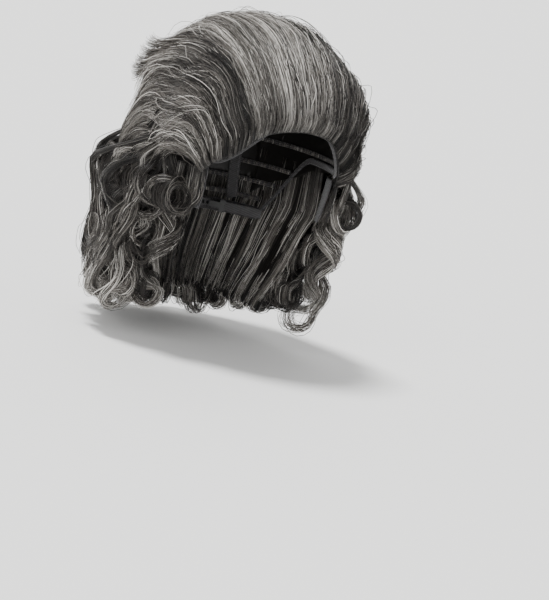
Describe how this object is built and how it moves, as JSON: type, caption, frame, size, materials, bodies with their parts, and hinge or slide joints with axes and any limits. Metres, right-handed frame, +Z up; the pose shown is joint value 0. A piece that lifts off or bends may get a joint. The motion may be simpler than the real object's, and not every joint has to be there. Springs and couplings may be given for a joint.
{
  "type": "costume wig",
  "caption": "Shoulder-length costume wig, grey hair swept back from the brow into waves and barrel curls, on an open weft cap with folding ear tabs and nape adjusters.",
  "frame": {"origin": "middle of the wearer's head at eye level, inside the cap, where the head holds the wig up", "axes": "+Z up, -Y towards the wearer's face, +X towards the wearer's left"},
  "size_m": [0.2516, 0.2707, 0.3109],
  "materials": {
    "hair": "silky synthetic fibre, salt and pepper grey",
    "cap_fabric": "matte woven",
    "elastic": "ribbed matte",
    "nylon": "satin",
    "spring_wire": "satin"
  },
  "bodies": {
    "wig": {"front_band": "cap_fabric", "crown_net": "cap_fabric", "nape_band": "cap_fabric", "cap_ribbon_center": "elastic", "cap_ribbon_left": "elastic", "cap_ribbon_right": "elastic", "weft_row_1": "cap_fabric", "weft_row_2": "cap_fabric", "weft_row_3": "cap_fabric", "weft_row_4": "cap_fabric", "weft_row_5": "cap_fabric", "weft_row_6": "cap_fabric", "ear_binding_left": "elastic", "ear_binding_right": "elastic", "adjuster_eyes_left": "elastic", "adjuster_eyes_right": "elastic", "hair_quiff_center": "hair", "hair_crown_center": "hair", "hair_quiff_left": "hair", "hair_wing_left": "hair", "hair_crown_left": "hair", "hair_temple_left": "hair", "hair_back_left": "hair", "hair_quiff_right": "hair", "hair_wing_right": "hair", "hair_crown_right": "hair", "hair_temple_right": "hair", "hair_back_right": "hair", "hair_fall_left": "hair", "hair_fall_back": "hair", "hair_fall_right": "hair", "curl_upper_1": "hair", "curl_upper_2": "hair", "curl_upper_3": "hair", "curl_upper_4": "hair", "curl_upper_5": "hair", "curl_upper_6": "hair", "curl_middle_1": "hair", "curl_middle_2": "hair", "curl_middle_3": "hair", "curl_middle_4": "hair", "curl_middle_5": "hair", "curl_middle_6": "hair", "curl_lower_1": "hair", "curl_lower_2": "hair", "curl_lower_3": "hair", "curl_lower_4": "hair", "front_ringlet_left": "hair", "front_ringlet_right": "hair"},
    "ear_flap_left": {"ear_tab_left": "cap_fabric", "ear_tab_stay_left": "spring_wire", "sideburn_lock_left": "hair"},
    "ear_flap_right": {"ear_tab_right": "cap_fabric", "ear_tab_stay_right": "spring_wire", "sideburn_lock_right": "hair"},
    "adjuster_left": {"adjuster_strap_left": "elastic", "adjuster_hook_left": "nylon"},
    "adjuster_right": {"adjuster_strap_right": "elastic", "adjuster_hook_right": "nylon"}
  },
  "joints": [
    {"name": "ear_tab_left_fold", "type": "hinge", "parent": "wig", "child": "ear_flap_left", "pos_m": [0.07203, -0.03882, 0.00497], "axis": [0.3301, 0.944, 0], "range_deg": [0, 35]},
    {"name": "ear_tab_right_fold", "type": "hinge", "parent": "wig", "child": "ear_flap_right", "pos_m": [-0.07203, -0.03882, 0.00497], "axis": [0.3301, -0.944, 0], "range_deg": [0, 35]},
    {"name": "adjuster_left_swing", "type": "hinge", "parent": "wig", "child": "adjuster_left", "pos_m": [0.05667, 0.04789, -0.05163], "axis": [0, 0, 1], "range_deg": [0, 60]},
    {"name": "adjuster_right_swing", "type": "hinge", "parent": "wig", "child": "adjuster_right", "pos_m": [-0.05667, 0.04789, -0.05163], "axis": [0, 0, -1], "range_deg": [0, 60]}
  ]
}
